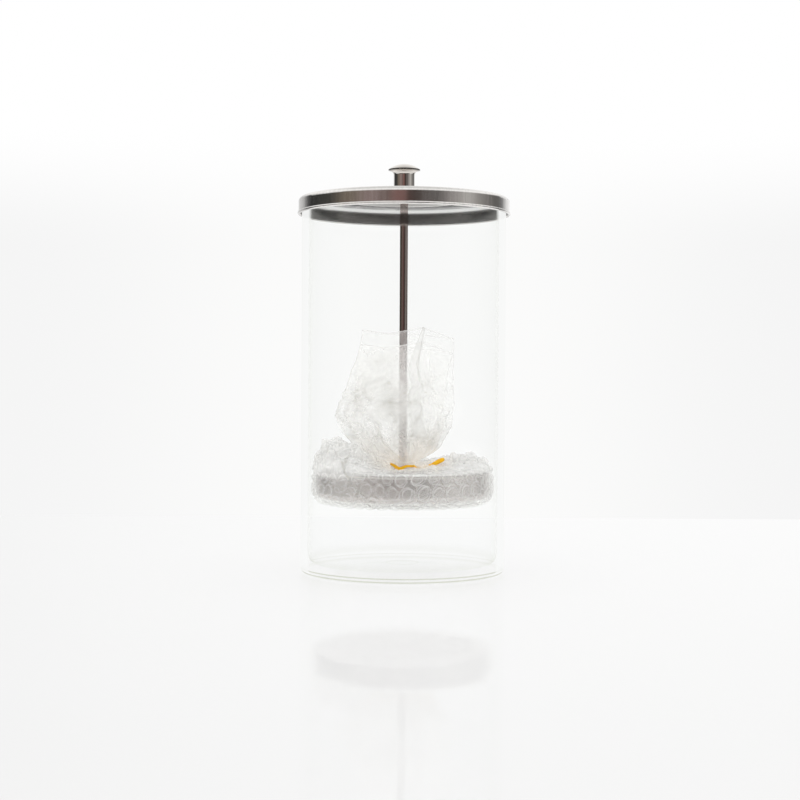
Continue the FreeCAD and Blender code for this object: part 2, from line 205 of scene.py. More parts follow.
def clear_glass():
    """Clear glass with a painted glow where the wall is seen through its thickness and along its rim, and
    olive lines of painted shade at the foot.
    """
    material, t = new_material("jar_glass")
    ripple = t.noise(t.place((1.0, 1.0, 0.25)), 18.0, 1.0)
    normal = t.bump(ripple, 0.02, 0.0004)
    facing = t.facing(0.5, Normal=normal)
    path = t.add("ShaderNodeLightPath").outputs
    indirect = t.math("MAXIMUM", path["Is Shadow Ray"], path["Is Diffuse Ray"])
    geometry = t.add("ShaderNodeNewGeometry").outputs
    upright = t.split(geometry["Normal"])[2]
    level = t.product(upright, upright)
    height, radius = t.height(), t.vector_math("LENGTH", t.place(LEVEL_ONLY))

    rim = t.product(t.math("POWER", facing, 6.0), t.remap(level, 0.8, 1.0, 1.0, 0.08))
    # Painted shade: the glass's olive tint darkens where its faces curve and along two lines round the
    # foot.
    curve_shade = t.product(level, t.one_less(level), 0.5)
    rings = t.math("MAXIMUM", *[t.near(height, middle, width) for middle, width in FOOT_RINGS])
    front_face = t.remap(geometry["Backfacing"], 0.0, 1.0, 1.0, 0.2)
    outside = t.product(t.remap(radius, *FOOT_OUTSIDE_RADII), front_face)
    foot = t.math("MAXIMUM", curve_shade, t.product(rings, outside))
    tint = t.blend(rim, (0.998, 1.0, 0.999), (0.93, 0.94, 0.915))
    tint = t.blend(foot, tint, OLIVE)
    tint = t.blend(indirect, tint, WHITE)
    through = t.shader("BsdfTransparent", Color=tint)

    # Painted glow: an emission where the wall is seen edge-on through its thickness and along the rim,
    # left out for shadow and diffuse rays.
    thick = t.product(t.remap(facing, 0.56, 0.66), t.remap(level, 0.1, 0.3, 0.7, 0.0),
                      t.remap(radius, *OUTER_WALL_GLOW_RADII))
    thick = t.math("MAXIMUM", thick, t.remap(height, *GLASS_RIM_GLOW_HEIGHTS, 0.0, 0.4))
    thick = t.product(thick, t.one_less(indirect))
    lit = t.shader("Emission", Color=(0.95, 0.955, 0.95, 1.0))

    shine = t.math("ADD", t.product(rim, 0.15), 0.012)
    shine = t.product(shine, t.one_less(indirect))
    mirror = t.shader("BsdfGlossy", Color=(*WHITE, 1.0), Roughness=0.02, Normal=normal)
    t.surface(t.mix_shader(shine, t.mix_shader(thick, through, lit), mirror))
    return material


def steel(name, colour, rough, grain_scale, grain, bump=0.05, inside=1.0, dull=0.0, edge=None):
    """Steel brushed along the axis that grain_scale stretches least.

    grain is how much the brushing darkens it, and inside dims the faces turned towards the axis as
    painted shade.
    dull darkens the flat underside in patches as painted shade, and is how unpolished the rounded corner
    round it is.
    edge is the height of a thin painted dark line of shade.
    """
    material, t = new_material(name)
    brushing = t.noise(t.place(grain_scale), 1.0, 4.0, 0.7)
    stain = t.noise(t.place(), 45.0, 3.0)
    streaks = t.remap(brushing, 0.3, 0.7, 1.0 - grain, 1.0, False)
    shade = t.product(streaks, t.remap(stain, 0.35, 0.7, 1.0, 0.93))
    normal = t.add("ShaderNodeNewGeometry").outputs["Normal"]
    outward = t.vector_math("DOT_PRODUCT", normal, t.place(LEVEL_ONLY))
    base = t.blend(shade, dimmed(colour, STREAK_SHADE), colour)
    # Painted shade: faces turned towards the axis, such as the inside of the lid's skirt, are dimmed by
    # inside.
    base = t.blend(t.remap(outward, -0.03, -0.01, inside, 1.0), dimmed(colour, INSIDE_SHADE), base)
    # A thin painted dark line of shade round the given height.
    if edge:
        base = t.blend(t.near(t.height(), edge, EDGE_LINE_WIDTH), base, (0.02, 0.018, 0.015))
    # Painted shade: with dull, the flat underside is darkened towards near black in patches.
    if dull:
        upright = t.split(normal)[2]
        underside_shade_patches = t.remap(t.noise(t.place(), 150.0, 2.0), 0.42, 0.62, 0.95, 0.55)
        under = t.product(t.remap(upright, -0.99, -0.96, 1.0, 0.0), underside_shade_patches)
        base = t.blend(under, base, (0.03, 0.03, 0.03))
    polish = t.remap(brushing, 0.3, 0.7, rough * 0.75, rough * 1.3, False)
    metal = t.shader("BsdfPrincipled", Base_Color=base, Metallic=1.0, Roughness=polish,
                     Normal=t.bump(brushing, bump, 0.0002))
    if dull:
        corner = t.product(t.remap(upright, -0.3, -0.1, dull, 0.0), t.remap(upright, -0.99, -0.93),
                           t.remap(outward, -0.02, -0.01, 1.0, 0.0))
        metal = t.mix_shader(corner, metal, t.shader("BsdfDiffuse", Color=(*colour, 1.0)))
    t.surface(metal)
    return material


def bubble_film():
    """Clear film with a painted glow in its gathers, standing in for light it carries down into them.

    Its mesh carries "film": red is how milky it is, green the painted shade along its fold lines, and
    blue its crumple.
    """
    material, t = new_material("bubble_film")
    place = t.place()
    marks = t.add("ShaderNodeAttribute", {"attribute_name": "film"}).outputs["Color"]
    veil, line, crumple = t.add("ShaderNodeSeparateColor", Color=marks).outputs
    from_neck = t.vector_math("DISTANCE", place, GATHER_POINT)

    wrinkle = t.noise(place, 160.0, 3.0, 0.6)
    curls = t.noise(place, 95.0, 2.0, 0.55, 1.4)
    broken = t.remap(t.noise(place, 75.0, 1.0), 0.42, 0.56)
    crease = t.product(t.near(curls, 0.5, 0.012), t.product(broken, crumple))
    edge_on = t.product(t.math("POWER", t.facing(0.3), 4.0), t.remap(veil, 0.0, 0.07, 0.09, 0.25),
                        t.remap(crumple, 0.25, 0.7, 1.0, 0.5))
    folds = t.math("ADD", t.product(crease, 0.5), t.product(line, 0.55))
    patchy = t.product(veil, t.remap(wrinkle, 0.35, 0.65, 0.85, 1.15, False))
    cover = t.math("ADD", patchy, t.math("ADD", edge_on, folds), True)

    # Painted light: the film turns warm near the neck, as if lit through the amber band.
    near_neck = t.remap(from_neck, 0.004, 0.034, 1.0, 0.0)
    bright = t.blend(near_neck, (0.98, 0.98, 0.975), (0.985, 0.95, 0.9))
    # Painted shade: the colour darkens where the film is seen edge-on, along its creases and along the
    # green marks.
    shaded = t.math("ADD", t.product(edge_on, 0.45), crease, True)
    colour = t.blend(shaded, bright, (0.55, 0.54, 0.5))
    colour = t.blend(line, colour, (0.5, 0.49, 0.45))
    lit = t.shader("BsdfDiffuse", Color=colour)
    glow = t.shader("BsdfTranslucent", Color=colour)
    # Painted glow: an emission near the neck, fading with distance from it.
    painted_neck_glow = t.shader("Emission", Color=t.blend(0.12, colour, BLACK))
    neck_glow_reach = t.remap(from_neck, 0.004, 0.045, 0.38, 0.0)
    milky = t.mix_shader(neck_glow_reach, t.mix_shader(0.5, lit, glow), painted_neck_glow)
    clear = t.shader("BsdfTransparent", Color=(0.998, 0.998, 0.996, 1.0))

    normal = t.bump(t.math("ADD", wrinkle, crease), 0.14, 0.0004)
    gloss = t.shader("BsdfGlossy", Color=(*WHITE, 1.0), Roughness=0.12, Normal=normal)
    grazing = t.math("POWER", t.facing(0.5, Normal=normal), 5.0)
    sheen = t.math("ADD", t.product(grazing, 0.3), 0.015)
    t.surface(t.mix_shader(sheen, t.mix_shader(cover, clear, milky), gloss))
    return material


def amber_rubber():
    """Smooth amber rubber that light passes into."""
    material, t = new_material("amber_rubber")
    dust = t.noise(t.place(), 700.0, 3.0)
    colour = t.blend(dust, (0.95, 0.6, 0.003), (1.0, 0.7, 0.01))
    normal = t.bump(dust, 0.15, 0.0002)
    rubber = t.shader("BsdfPrincipled", Base_Color=colour, Roughness=0.38, Normal=normal)
    t.surface(t.mix_shader(0.35, rubber, t.shader("BsdfTranslucent", Color=colour)))
    return material


def floor_material():
    """Evenly lit white table top with a soft reflection. Metal that mirrors its near end sees it dim."""
    material, t = new_material("white_table")
    place = t.place()
    base = t.blend(t.noise(place, 3.0, 2.0), (0.6, 0.6, 0.6), (0.62, 0.62, 0.62))
    table = t.shader("BsdfPrincipled", Base_Color=base, Roughness=0.005, IOR=1.45, Specular_IOR_Level=0.6)
    near_end = t.remap(t.split(place)[1], -0.65, -0.3, 1.0, 0.0)
    mirrored = t.product(near_end, t.add("ShaderNodeLightPath").outputs["Is Glossy Ray"])
    even = t.shader("Emission", Color=t.blend(mirrored, (1.06, 1.06, 1.06), (0.08, 0.075, 0.07)))
    t.surface(t.mix_shader(t.math("MAXIMUM", 0.5, mirrored), table, even))
    return material


def give(node, material):
    """Puts a material on all of a CAD node."""
    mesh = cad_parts[node].data
    mesh.materials.clear()
    mesh.materials.append(material)


# ---------------------------------------------------------------- mesh helpers

def new_piece(name, data, material):
    """Adds mesh or curve data as a piece that rides on the carrier."""
    piece = bpy.data.objects.new(name, data)
    bpy.context.collection.objects.link(piece)
    data.materials.append(material)
    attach(piece, "carrier")
    return piece


def film_mesh(name, layers):
    """One smooth mesh from layers of film: points[row, column] closed round each row, and their marks."""
    vertices, faces = [], []
    for points, _ in layers:
        rows, columns = points.shape[:2]
        index = len(vertices) + np.arange(rows * columns).reshape(rows, columns)
        after = np.roll(index, -1, axis=1)
        quads = np.stack([index[:-1], after[:-1], after[1:], index[1:]], axis=-1)
        vertices.extend(map(tuple, points.reshape(-1, 3)))
        faces.extend(map(tuple, quads.reshape(-1, 4).tolist()))
    mesh = bpy.data.meshes.new(name)
    mesh.from_pydata(vertices, [], faces)
    mesh.shade_smooth()
    marks = np.concatenate([m.reshape(-1, 4) for _, m in layers])
    mesh.attributes.new("film", "FLOAT_COLOR", "POINT").data.foreach_set("color", marks.ravel())
    return mesh


def film_marks(veil, line, crumple):
    """The film's marks as a colour for every point: how milky, painted shade along fold lines, and
    crumple, each 0 to 1.
    """
    parts = np.broadcast_arrays(veil, line, crumple, 1.0)
    return np.clip(np.stack(parts, axis=-1), 0.0, 1.0)


def smooth(value, low, high):
    """0 below low, 1 above high and an S-curve between them."""
    x = np.clip((value - low) / (high - low), 0.0, 1.0)
    return x * x * (3.0 - 2.0 * x)


def fade(value, low, high):
    """1 below low, 0 above high and an S-curve between them."""
    return 1.0 - smooth(value, low, high)


def perlin(points, scale, seed):
    """Smooth noise between about -1 and 1 at points[..., 3]."""
    shift = Vector((17.3 * seed, 5.1 * seed, 9.7 * seed))
    flat = [noise.noise(Vector(p) * scale + shift) for p in points.reshape(-1, 3)]
    return np.array(flat).reshape(points.shape[:-1])


def creases(points, scale, seed, octaves=3):
    """Noise with sharp ridges, as in crumpled film, between about -1 and 1."""
    total = np.zeros(points.shape[:-1])
    for octave in range(octaves):
        ridge = 1.0 - 4.0 * np.abs(perlin(points, scale * 2.1**octave, seed + octave))
        total += ridge * 0.5**octave
    return total / 1.75


def ridges(points, scale, seed):
    """Thin winding ridges, 1 along their tops and 0 between them."""
    return fade(np.abs(perlin(points, scale, seed)), 0.0, 0.07)


def stir(points, scale, amount, seed):
    """Moves points by smooth noise, each axis on its own."""
    moved = [perlin(points, scale, seed + 11 * axis) for axis in range(3)]
    return points + np.stack(moved, axis=-1) * np.asarray(amount)[..., None]


def raised(points, amount):
    """A closed grid of points moved outwards along its normals by an amount in millimetres."""
    along = np.gradient(points, axis=0)
    around = (np.roll(points, -1, axis=1) - np.roll(points, 1, axis=1)) / 2
    cross = np.cross(around, along)
    normals = cross / np.maximum(np.linalg.norm(cross, axis=-1, keepdims=True), 1e-12)
    return points + normals * (amount * MM)[..., None]


def bubbles(across, along, pitch=7.4 * MM, radius=3.1 * MM):
    """Height, 0 to 1, of a field of domed bubbles on the flat film at (across, along)."""
    row_step = pitch * math.sqrt(3) / 2
    height = np.zeros_like(across)
    for lift in (0, 1):
        row = np.floor(along / row_step) + lift
        shift = (row % 2) * pitch / 2
        column = np.round((across - shift) / pitch)
        distance = np.hypot(across - shift - column * pitch, along - row * row_step)
        height = np.maximum(height, np.sqrt(np.clip(1.0 - (distance / radius) ** 4, 0.0, 1.0)))
    return height


def rims(domes):
    """1 on the rim of each bubble and 0 elsewhere."""
    return smooth(domes, 0.02, 0.3) * fade(domes, 0.55, 0.9)


def spline(value, knots, values):
    """A smooth curve through (knots, values), read at value."""
    knots, values = np.array(knots, float), np.array(values, float)
    slope = np.gradient(values, knots)
    i = np.clip(np.searchsorted(knots, value) - 1, 0, len(knots) - 2)
    step = knots[i + 1] - knots[i]
    x = np.clip((value - knots[i]) / step, 0.0, 1.0)
    rise = x * x * (3.0 - 2.0 * x)
    bend = step * x * (1.0 - x) * ((1.0 - x) * slope[i] - x * slope[i + 1])
    return values[i] * (1.0 - rise) + values[i + 1] * rise + bend


def pleats(turn, count, seed):
    """Sharp folds between -1 and 1, unevenly spaced round a full turn from 0 to 1."""
    slow = 0.45 * np.sin(2 * math.pi * (3 * turn + 0.17 * seed))
    quick = 0.2 * np.sin(2 * math.pi * (7 * turn + 0.31 * seed))
    return 1.0 - 2.0 * np.abs(np.sin(math.pi * (count * turn + slow + quick)))


def read_round(turn, stops, full_turn):
    """Straight runs between stops, a dict from place in the turn to value, closed round a full turn."""
    places = sorted(stops)
    return np.interp(turn, places, [stops[place] for place in places], period=full_turn)


# ---------------------------------------------------------------- bag tail

# Lengths are in millimetres and places round the bag in turns from the right of the view.
TAIL_HEIGHTS = (54.4, 57.0, 60.0, 65.0, 69.5, 75.0, 80.0, 88.0, 95.0, 103.0, 112.0, 121.0)
TAIL_RADII = (5.2, 9.0, 14.0, 19.0, 22.8, 26.2, 28.3, 27.3, 26.0, 24.6, 22.8, 22.4)
TAIL_LEAN = (0.0, 0.0, -1.5, -3.5, -4.2, -4.5, -4.4, -3.0, -1.6, 0.0, 1.6, 2.0)
TAIL_FLARE = 0.0068
TAIL_SWAY = 0.17
TAIL_PLEATS = 13
TAIL_SEED = 1
TAIL_COLUMNS, TAIL_ROWS = 420, 130
TAIL_FILM_WIDTH, TAIL_FILM_LENGTH = 150.0, 78.0
MOUTH_CORNERS = {0.0: (25.0, -3.0, 115.9), 0.22: (7.0, 20.0, 118.5), 0.36: (-12.0, 17.0, 119.0),
                 0.52: (-20.5, -3.0, 119.8), 0.64: (-7.0, -13.0, 118.0), 0.79: (9.5, -21.0, 120.7)}
SHARP_CORNERS = (0.0, 0.52, 0.79)
STRIP_DEPTHS = (0.0, 8.0, 18.7, 30.0, 45.0, 57.0)
STRIP_LEFT = (9.6, 6.4, 2.8, 2.6, 3.3, 5.7)
STRIP_RIGHT = (10.2, 9.1, 7.1, 8.0, 10.0, 12.9)
STRIP_NOTCH = 8.0


def mouth(turn):
    """Corners of the bag's mouth joined by straight runs: x, y and the edge's height."""
    return [read_round(turn, {place: corner[axis] for place, corner in MOUTH_CORNERS.items()}, 1.0)
            for axis in range(3)]


def corner_lines(turn):
    """1 where the film is folded at the mouth's sharp corners, falling to 0 close by."""
    apart = [np.abs((turn - corner + 0.5) % 1.0 - 0.5) for corner in SHARP_CORNERS]
    return fade(np.min(apart, axis=0), 0.001, 0.005)


def folded_strip(x, y, below):
    """1 on the smooth strip of film folded down the front from the mouth's corner, and on its creases."""
    left = spline(below, STRIP_DEPTHS, STRIP_LEFT)
    right = spline(below, STRIP_DEPTHS, STRIP_RIGHT)
    front = fade(y, -4.0, -2.0)
    inside = smooth(x, left, left + 0.3) * fade(x, right - 0.3, right) * front
    near_edge = np.minimum(np.abs(x - left), np.abs(x - right))
    notch = fade(np.abs(below - STRIP_NOTCH), 0.2, 0.5) * inside
    ending = fade(below, 46.0, 57.0)
    crease = np.maximum(fade(near_edge, 0.15, 0.5) * front, notch)
    return inside * ending, crease * ending * (1.0 - 0.6 * smooth(below, 18.0, 30.0))


def tail_outline(turn, rise, belly_size, mouth_size, drop):
    """Smooth shape of a layer, from the round pleated neck to the square mouth, and its zones.

    The zones say where, from 0 to 1, the film is gathered, square, loose and so on.
    """
    mouth_x, mouth_y, mouth_z = mouth(turn)
    height = TAIL_HEIGHTS[0] + (mouth_z - drop - TAIL_HEIGHTS[0]) * rise
    below = mouth_z - height
    angle = 2 * math.pi * turn
    folds = pleats(turn, TAIL_PLEATS, TAIL_SEED)
    gather = fade(height, 56.0, 82.0)
    square = smooth(height, 76.0, 98.0)
    radius = spline(height, TAIL_HEIGHTS, TAIL_RADII) * (1.0 + 0.34 * gather * folds)
    lean = spline(height, TAIL_HEIGHTS, TAIL_LEAN)
    spread = below * below / (below + 8.0)
    mouth_x = mouth_x * (1.0 + TAIL_FLARE * spread) - TAIL_SWAY * spread
    mouth_y = mouth_y * (1.0 + TAIL_FLARE * spread)
    x = radius * np.cos(angle) * (1.0 - square) + mouth_x * square
    y = radius * np.sin(angle) * (1.0 - square) + mouth_y * square
    size = belly_size + (mouth_size - belly_size) * smooth(height, 90.0, 110.0)
    x, y = lean * (1.0 - square) + x * size, y * size
    zones = SimpleNamespace(
        height=height, below=below, folds=folds, gather=gather, square=square,
        loose=smooth(height, 57.0, 66.0) * fade(height, 92.0, 106.0),
        free=smooth(height, 56.0, 60.0),
        sides=smooth(np.abs(x + 3.0), 14.0, 21.0),
        right=smooth(x, 10.0, 16.0),
        edge=smooth(rise, 1.0 - 1.6 / TAIL_ROWS, 1.0),
        corners=corner_lines(turn) * smooth(height, 84.0, 100.0) * fade(-y, 17.0, 19.0),
    )
    return x, y, zones


def tail_marks(x, points, domes, zones):
    """How milky a layer of the bag's open end is, where painted shade darkens its folds, and how crumpled
    it is.
    """
    patch = 0.25 + 0.75 * smooth(perlin(points, 55.0, TAIL_SEED + 21), -0.25, 0.35)
    misty = smooth(zones.height, 72.0, 80.0) * fade(zones.height, 104.0, 113.0)
    misty = misty * patch * (1.0 - zones.right)
    veil = 0.2 + 0.02 * zones.loose + 0.12 * zones.gather + 0.03 * zones.loose * rims(domes)
    veil = veil + 0.4 * zones.edge + 0.15 * zones.strip + 0.2 * misty - 0.06 * zones.right * zones.square
    veil = veil - 0.1 * zones.gather * smooth(x, 5.0, 12.0) * zones.free
    # Painted shade: dark lines in the pleats' hollows, along the mouth's edge and corners, in the misty
    # band, on the folded strip and its creases, and on the ridges.
    pleat_shade = zones.gather * smooth(-zones.folds, 0.6, 1.0) * (1.0 - 0.6 * zones.sides)
    line = 0.25 * zones.edge + 0.3 * zones.corners + 0.22 * misty * fade(x, -5.0, 3.0)
    line = line + 0.5 * pleat_shade + 0.42 * zones.strip_creases + 0.18 * zones.strip + 0.3 * zones.ridge
    crumple = (0.25 * zones.free + 0.75 * zones.loose) * smooth(zones.below, 14.0, 22.0)
    crumple = crumple * (1.0 - 0.85 * zones.strip) * (1.0 - 0.4 * zones.right)
    return film_marks(veil, line, crumple)


def tail_layer(belly_size, mouth_size, drop, has_strip):
    """One layer of the bag's open end: pleated at the neck, bellied, and square-cornered at the mouth."""
    turn, rise = np.meshgrid(np.arange(TAIL_COLUMNS) / TAIL_COLUMNS, np.linspace(0.0, 1.0, TAIL_ROWS))
    x, y, zones = tail_outline(turn, rise, belly_size, mouth_size, drop)
    loose, free = zones.loose, zones.free
    points = np.stack([x, y, zones.height], axis=-1) * MM
    points = stir(points, 60.0, (2.4 * loose + 0.1) * MM * free, TAIL_SEED)
    points = stir(points, 170.0, 0.9 * loose * MM * free, TAIL_SEED + 3)
    domes = bubbles(turn * TAIL_FILM_WIDTH * MM, rise * TAIL_FILM_LENGTH * MM)
    zones.ridge = loose * ridges(points, 48.0, TAIL_SEED + 5)
    zones.strip, zones.strip_creases = folded_strip(x, y, zones.below) if has_strip else (0.0, 0.0)
    crumple = 0.5 * loose * creases(points, 60.0, TAIL_SEED, 2) + 0.5 * zones.ridge
    crumple = crumple + loose * zones.sides * creases(points, 120.0, TAIL_SEED + 31, 2)
    rough = (crumple + 0.12 * loose * domes) * free * (1.0 - 0.85 * zones.strip)
    shaped = raised(points, rough + 0.6 * zones.strip * smooth(zones.below, 1.0, 6.0))
    return shaped, tail_marks(x, points, domes, zones)


def build_tail(film):
    """The bag's open end: an outer layer with the folded strip, and a lower one inside it."""
    layers = [tail_layer(1.0, 1.0, 0.0, True), tail_layer(0.85, 0.97, 7.0, False)]
    tail = new_piece("bag_tail_film", film_mesh("bag_tail_film", layers), film)
    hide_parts("bag_tail")


# ---------------------------------------------------------------- bubble wrap

# Lengths are in millimetres. HEAPS is how high the film heaps up over the pan at each angle in degrees.
HEAPS = {0: 2.5, 7: 3.5, 13: 6, 20: 3.5, 30: 2, 60: 2.5, 90: 3, 135: 5, 165: 8.5, 182: 13.5, 192: 9.5,
         203: 11, 222: 7.5, 240: 1, 262: -1, 285: -1, 320: 0, 345: 3}
WRAP_COLUMNS = 560
UNDER_ROWS, SIDE_ROWS, OVER_ROWS, NECK_ROWS = 24, 70, 100, 4
WRAP_FOOT = 34.6
ROD_HOLE = 4.0
CORNER_CENTRE, CORNER_RADIUS, CORNER_SHARE = 38.7, 5.7, 0.4
WALL_HEIGHT = 10.2
SHOULDER = 50.6
NECK_RADIUS, NECK_FOOT, NECK_HEIGHT = 5.2, 51.6, 3.2
PAN_RIM, PAN_FOOT = 49.3, 36.6
WRAP_PLEATS = 19
WRAP_FILM_WIDTH = 282.0
SEAM_ANGLE, SEAM_SLOPE = 231.7, 1.2


def wrap_outline(angle):
    """Radius and height of the wrap from under the basket to the neck, with its heaps."""
    heap = read_round(np.degrees(angle), HEAPS, 360.0)
    outside = CORNER_CENTRE + CORNER_RADIUS
    rounds = []
    for q in np.linspace(0.0, 1.0, UNDER_ROWS, endpoint=False):
        rounds.append((ROD_HOLE + (CORNER_CENTRE - ROD_HOLE) * q, WRAP_FOOT))
    for q in np.linspace(0.0, 1.0, SIDE_ROWS, endpoint=False):
        corner = math.radians(90 * min(q / CORNER_SHARE, 1.0))
        wall = WALL_HEIGHT * max(q - CORNER_SHARE, 0.0) / (1.0 - CORNER_SHARE)
        rounds.append((CORNER_CENTRE + CORNER_RADIUS * math.sin(corner),
                       WRAP_FOOT + CORNER_RADIUS * (1 - math.cos(corner)) + wall))
    for q in np.linspace(0.0, 1.0, OVER_ROWS, endpoint=False):
        mound = math.sin(math.pi * q**0.5) ** 1.3
        rounds.append((outside - (outside - NECK_RADIUS) * q,
                       SHOULDER + (NECK_FOOT - SHOULDER) * q + heap * mound))
    for q in np.linspace(0.0, 1.0, NECK_ROWS):
        rounds.append((NECK_RADIUS, NECK_FOOT + NECK_HEIGHT * q))
    return [np.array([np.broadcast_to(row[part], heap.shape) for row in rounds]) for part in (0, 1)]


def wrap_veil(angle, radius, height, across, domes, zones):
    """How milky the wrap is: clearest on the pan's side, and milky on top and where it spills over."""
    degrees = np.degrees(angle)
    below_heaps = fade(height, 54.0, 58.0)
    left_side = fade(across, -10.0, 2.0) * fade(height, 47.5, 49.5)
    spill = smooth(degrees, 186.0, 196.0) * fade(degrees, 236.0, 250.0)
    spill = spill * smooth(height, 46.5, 50.0) * below_heaps * smooth(radius, 30.0, 38.0)
    in_view = smooth(-np.sin(angle), 0.15, 0.4) * smooth(height, 49.6, 50.4) * smooth(radius, 26.0, 36.0)
    bubbly = (0.03 * domes + 0.3 * rims(domes)) * (1.0 - zones.under)
    veil = 0.08 + bubbly + 0.3 * zones.top - 0.08 * zones.under
    veil = veil + 0.2 * zones.top * smooth(across, 2.0, 10.0) - 0.055 * left_side
    return veil + 0.45 * np.maximum(spill, 0.8 * in_view * below_heaps)


def wrap_lines(angle, radius, height, across, fold, specks, zones):
    """Dark marks on the wrap: painted shade in the pleats, along the seam and at the heights of the pan's
    rim and foot, and specks.
    """
    seam_angle = np.radians(SEAM_ANGLE + SEAM_SLOPE * (51.0 - height))
    seam = fade(np.abs(angle - seam_angle) * radius, 0.2, 0.8)
    # Painted shade at the heights of the pan's rim and foot, where the film bends over them.
    pan_edge_shade = fade(np.abs(height - PAN_RIM), 0.15, 0.5)
    pan_edge_shade = pan_edge_shade + 0.7 * fade(np.abs(height - PAN_FOOT), 0.15, 0.35)
    in_front = smooth(across, -30.0, -24.0) * fade(across, 35.0, 39.0) * (np.sin(angle) < 0.0)
    specks = smooth(specks, 0.25, 0.45) * zones.top * smooth(across, 10.0, 16.0)
    line = 0.35 * zones.near_neck * zones.top * smooth(-fold, 0.6, 1.0)
    line = line + 0.7 * seam * smooth(radius, 30.0, 42.0)
    line = line + 0.6 * pan_edge_shade * in_front * smooth(radius, 41.5, 42.2)
    return line + 0.22 * specks * fade(across, 30.0, 38.0) * (np.sin(angle) < 0.4)


def wrap_layer(inset, seed):
    """One layer of film round the basket: bubbles on its side, heaps on top and pleats at the neck."""
    turn = np.arange(WRAP_COLUMNS) / WRAP_COLUMNS
    radius, height = wrap_outline(2 * math.pi * turn)
    turn = np.broadcast_to(turn, radius.shape)
    angle = 2 * math.pi * turn
    radius = radius - inset * smooth(radius, 38.0, 43.0)
    top = smooth(height, 50.0, 52.0) * fade(radius, 40.0, 44.5)
    near_neck = fade(radius, 8.0, 30.0)
    front = smooth(-np.sin(angle), 0.5, 0.85)
    fold = pleats(turn, WRAP_PLEATS, seed)
    height = height + (1.6 - 1.3 * front) * top * near_neck * smooth(radius, 5.5, 9.0) * fold
    height = height - 1.3 * front * fade(radius, 7.0, 18.0) * (radius > NECK_RADIUS + 0.1)

    heap = smooth(height, 51.0, 58.0) * smooth(radius, 6.0, 20.0)
    points = np.stack([radius * np.cos(angle), radius * np.sin(angle), height], axis=-1) * MM
    points = stir(points, 75.0, (3.0 * heap + 0.5 * top) * MM, seed)
    points = stir(points, 190.0, (1.6 * heap + 0.5 * top) * MM, seed + 3)
    across = points[..., 0] / MM
    step = np.linalg.norm(np.diff(points, axis=0), axis=-1).mean(axis=1)
    along = np.concatenate([[0.0], np.cumsum(step)])[:, None]
    slip = perlin(points, 55.0, seed + 9) * 3.5 * MM
    domes = bubbles(turn * WRAP_FILM_WIDTH * MM + slip, along + 3.0 * MM * seed + slip)

    at_rim = fade(np.abs(height - PAN_RIM), 0.8, 1.8) * smooth(radius, 41.0, 42.0) * fade(heap, 0.0, 0.2)
    calm = (1.0 - 0.8 * fade(radius, 6.0, 12.0)) * (1.0 - 0.85 * at_rim)
    crumple = (0.12 + 1.3 * heap + 0.4 * top) * creases(points, 150.0, seed) * calm
    blown = (1.0 + 0.2 * heap) * domes * calm * (1.0 - 0.5 * front * top)
    shaped = raised(points, crumple + blown)

    zones = SimpleNamespace(top=top, under=fade(height, 35.6, 37.4), near_neck=near_neck)
    specks = perlin(points, 420.0, seed + 13)
    veil = wrap_veil(angle, radius, height, across, domes, zones)
    line = wrap_lines(angle, radius, height, across, fold, specks, zones)
    return shaped, film_marks(veil, line, (0.25 + 0.75 * top) * (1.0 - 0.7 * zones.under))


def build_wrap(film):
    """Two layers of bubble film round the basket."""
    layers = [wrap_layer(0.0, 2), wrap_layer(0.7, 6)]
    wrap = new_piece("bubble_wrap_film", film_mesh("bubble_wrap_film", layers), film)
    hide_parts("bubble_wrap")


# ---------------------------------------------------------------- rubber band

# Lengths are in millimetres. EAR is the free loop: x, y, height over the turns, and thickness.
EAR = (
    (7.4, -5.6, -0.8, 0.25), (9.6, -6.4, -0.7, 0.4), (10.9, -7.0, -0.5, 0.75), (12.2, -7.0, -0.4, 0.75),
    (13.6, -6.8, 0.2, 0.4), (14.9, -6.8, 1.0, 1.0), (16.6, -7.0, 1.9, 1.05), (18.6, -7.2, 2.9, 1.05),
    (20.2, -6.4, 3.6, 0.95), (18.8, -5.4, 3.2, 0.9), (16.6, -5.0, 2.1, 0.85), (14.2, -4.8, 0.7, 0.5),
    (9.0, -4.6, -0.8, 0.25), (6.4, -4.6, -0.3, 0.3),
)
BAND_SIDE_RADIUS, BAND_FRONT_RADIUS = 5.8, 6.9
BAND_START, BAND_STEPS = -35, 48
DIP_PLACE, DIP_WIDTH, DIP_DEPTH = -1.6, 1.9, 2.1


def band_route(height):
    """Points and thickness of the band: two uneven turns round the neck, then the free loop."""
    turns = []
    for i in range(BAND_STEPS + 1):
        angle = math.radians(BAND_START - 720 * i / BAND_STEPS)
        x, y = BAND_SIDE_RADIUS * math.cos(angle), BAND_FRONT_RADIUS * math.sin(angle)
        dip = math.exp(-((x - DIP_PLACE) / DIP_WIDTH) ** 2) if y < 0.0 else 0.0
        lift = 0.3 - DIP_DEPTH * dip - 0.07 * x + 0.3 * math.cos(angle / 2)
        turns.append((x, y, height + lift, 0.4 + 0.5 * dip - 0.03 * x))
    return turns + [(x, y, height + lift, thickness) for x, y, lift, thickness in EAR]


def build_band():
    """The rubber band as one closed curve, thick where its free loop shows."""
    curve = bpy.data.curves.new("rubber_band_loop", "CURVE")
    curve.dimensions = "3D"
    curve.bevel_depth = 1.0 * MM
    curve.bevel_resolution = 4
    curve.resolution_u = 6
    route = band_route(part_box("rubber_band")[0].z / MM + 0.4)
    loop = curve.splines.new("NURBS")
    loop.points.add(len(route) - 1)
    for point, (x, y, z, thickness) in zip(loop.points, route):
        point.co = (x * MM, y * MM, z * MM, 1.0)
        point.radius = thickness
    loop.use_cyclic_u = True
    loop.order_u = 4
    band = new_piece("rubber_band_loop", curve, amber_rubber())
    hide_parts("rubber_band")


# ---------------------------------------------------------------- studio

